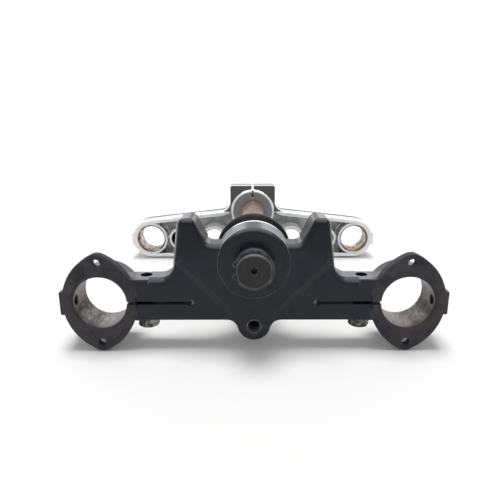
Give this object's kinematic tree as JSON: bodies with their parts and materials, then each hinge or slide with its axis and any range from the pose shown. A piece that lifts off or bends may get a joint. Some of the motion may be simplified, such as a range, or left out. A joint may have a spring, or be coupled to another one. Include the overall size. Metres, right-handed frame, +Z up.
{
  "type": "motorcycle triple clamp",
  "caption": "Motorcycle triple clamp: black cast lower fork clamp with its steering stem, and a chromed upper clamp pinched on the stem's end, lying on its front edges.",
  "frame": {"origin": "centre of the bounding box's underside, on the floor that the set lies on", "axes": "+X to the right across the forks, +Y along the floor from the lower clamp to the upper one, +Z up; the steering axis dips 4.5 degrees below +Y"},
  "size_m": [0.2954, 0.251, 0.1043],
  "materials": {
    "black_paint": "blue-black paint, satin to glossy, worn to bare metal along some edges",
    "bare_steel": "turned steel with a film of light rust",
    "spring_steel": "blackened spring steel",
    "shield_steel": "black paint, satin",
    "chrome_plate": "chrome plate over a casting, rough in its hollows, rusted inside the fork holes",
    "bolt_steel": "dulled plated steel"
  },
  "bodies": {
    "root": {"lower_clamp": "black_paint", "steering_stem": "bare_steel", "stem_circlip": "spring_steel", "bearing_dust_shield": "shield_steel", "upper_clamp": "chrome_plate", "left_fork_pinch_bolt": "bolt_steel", "right_fork_pinch_bolt": "bolt_steel", "left_fork_pinch_washer": "bolt_steel", "right_fork_pinch_washer": "bolt_steel", "stem_pinch_bolt": "bolt_steel", "stem_pinch_washer": "bolt_steel"}
  },
  "joints": []
}
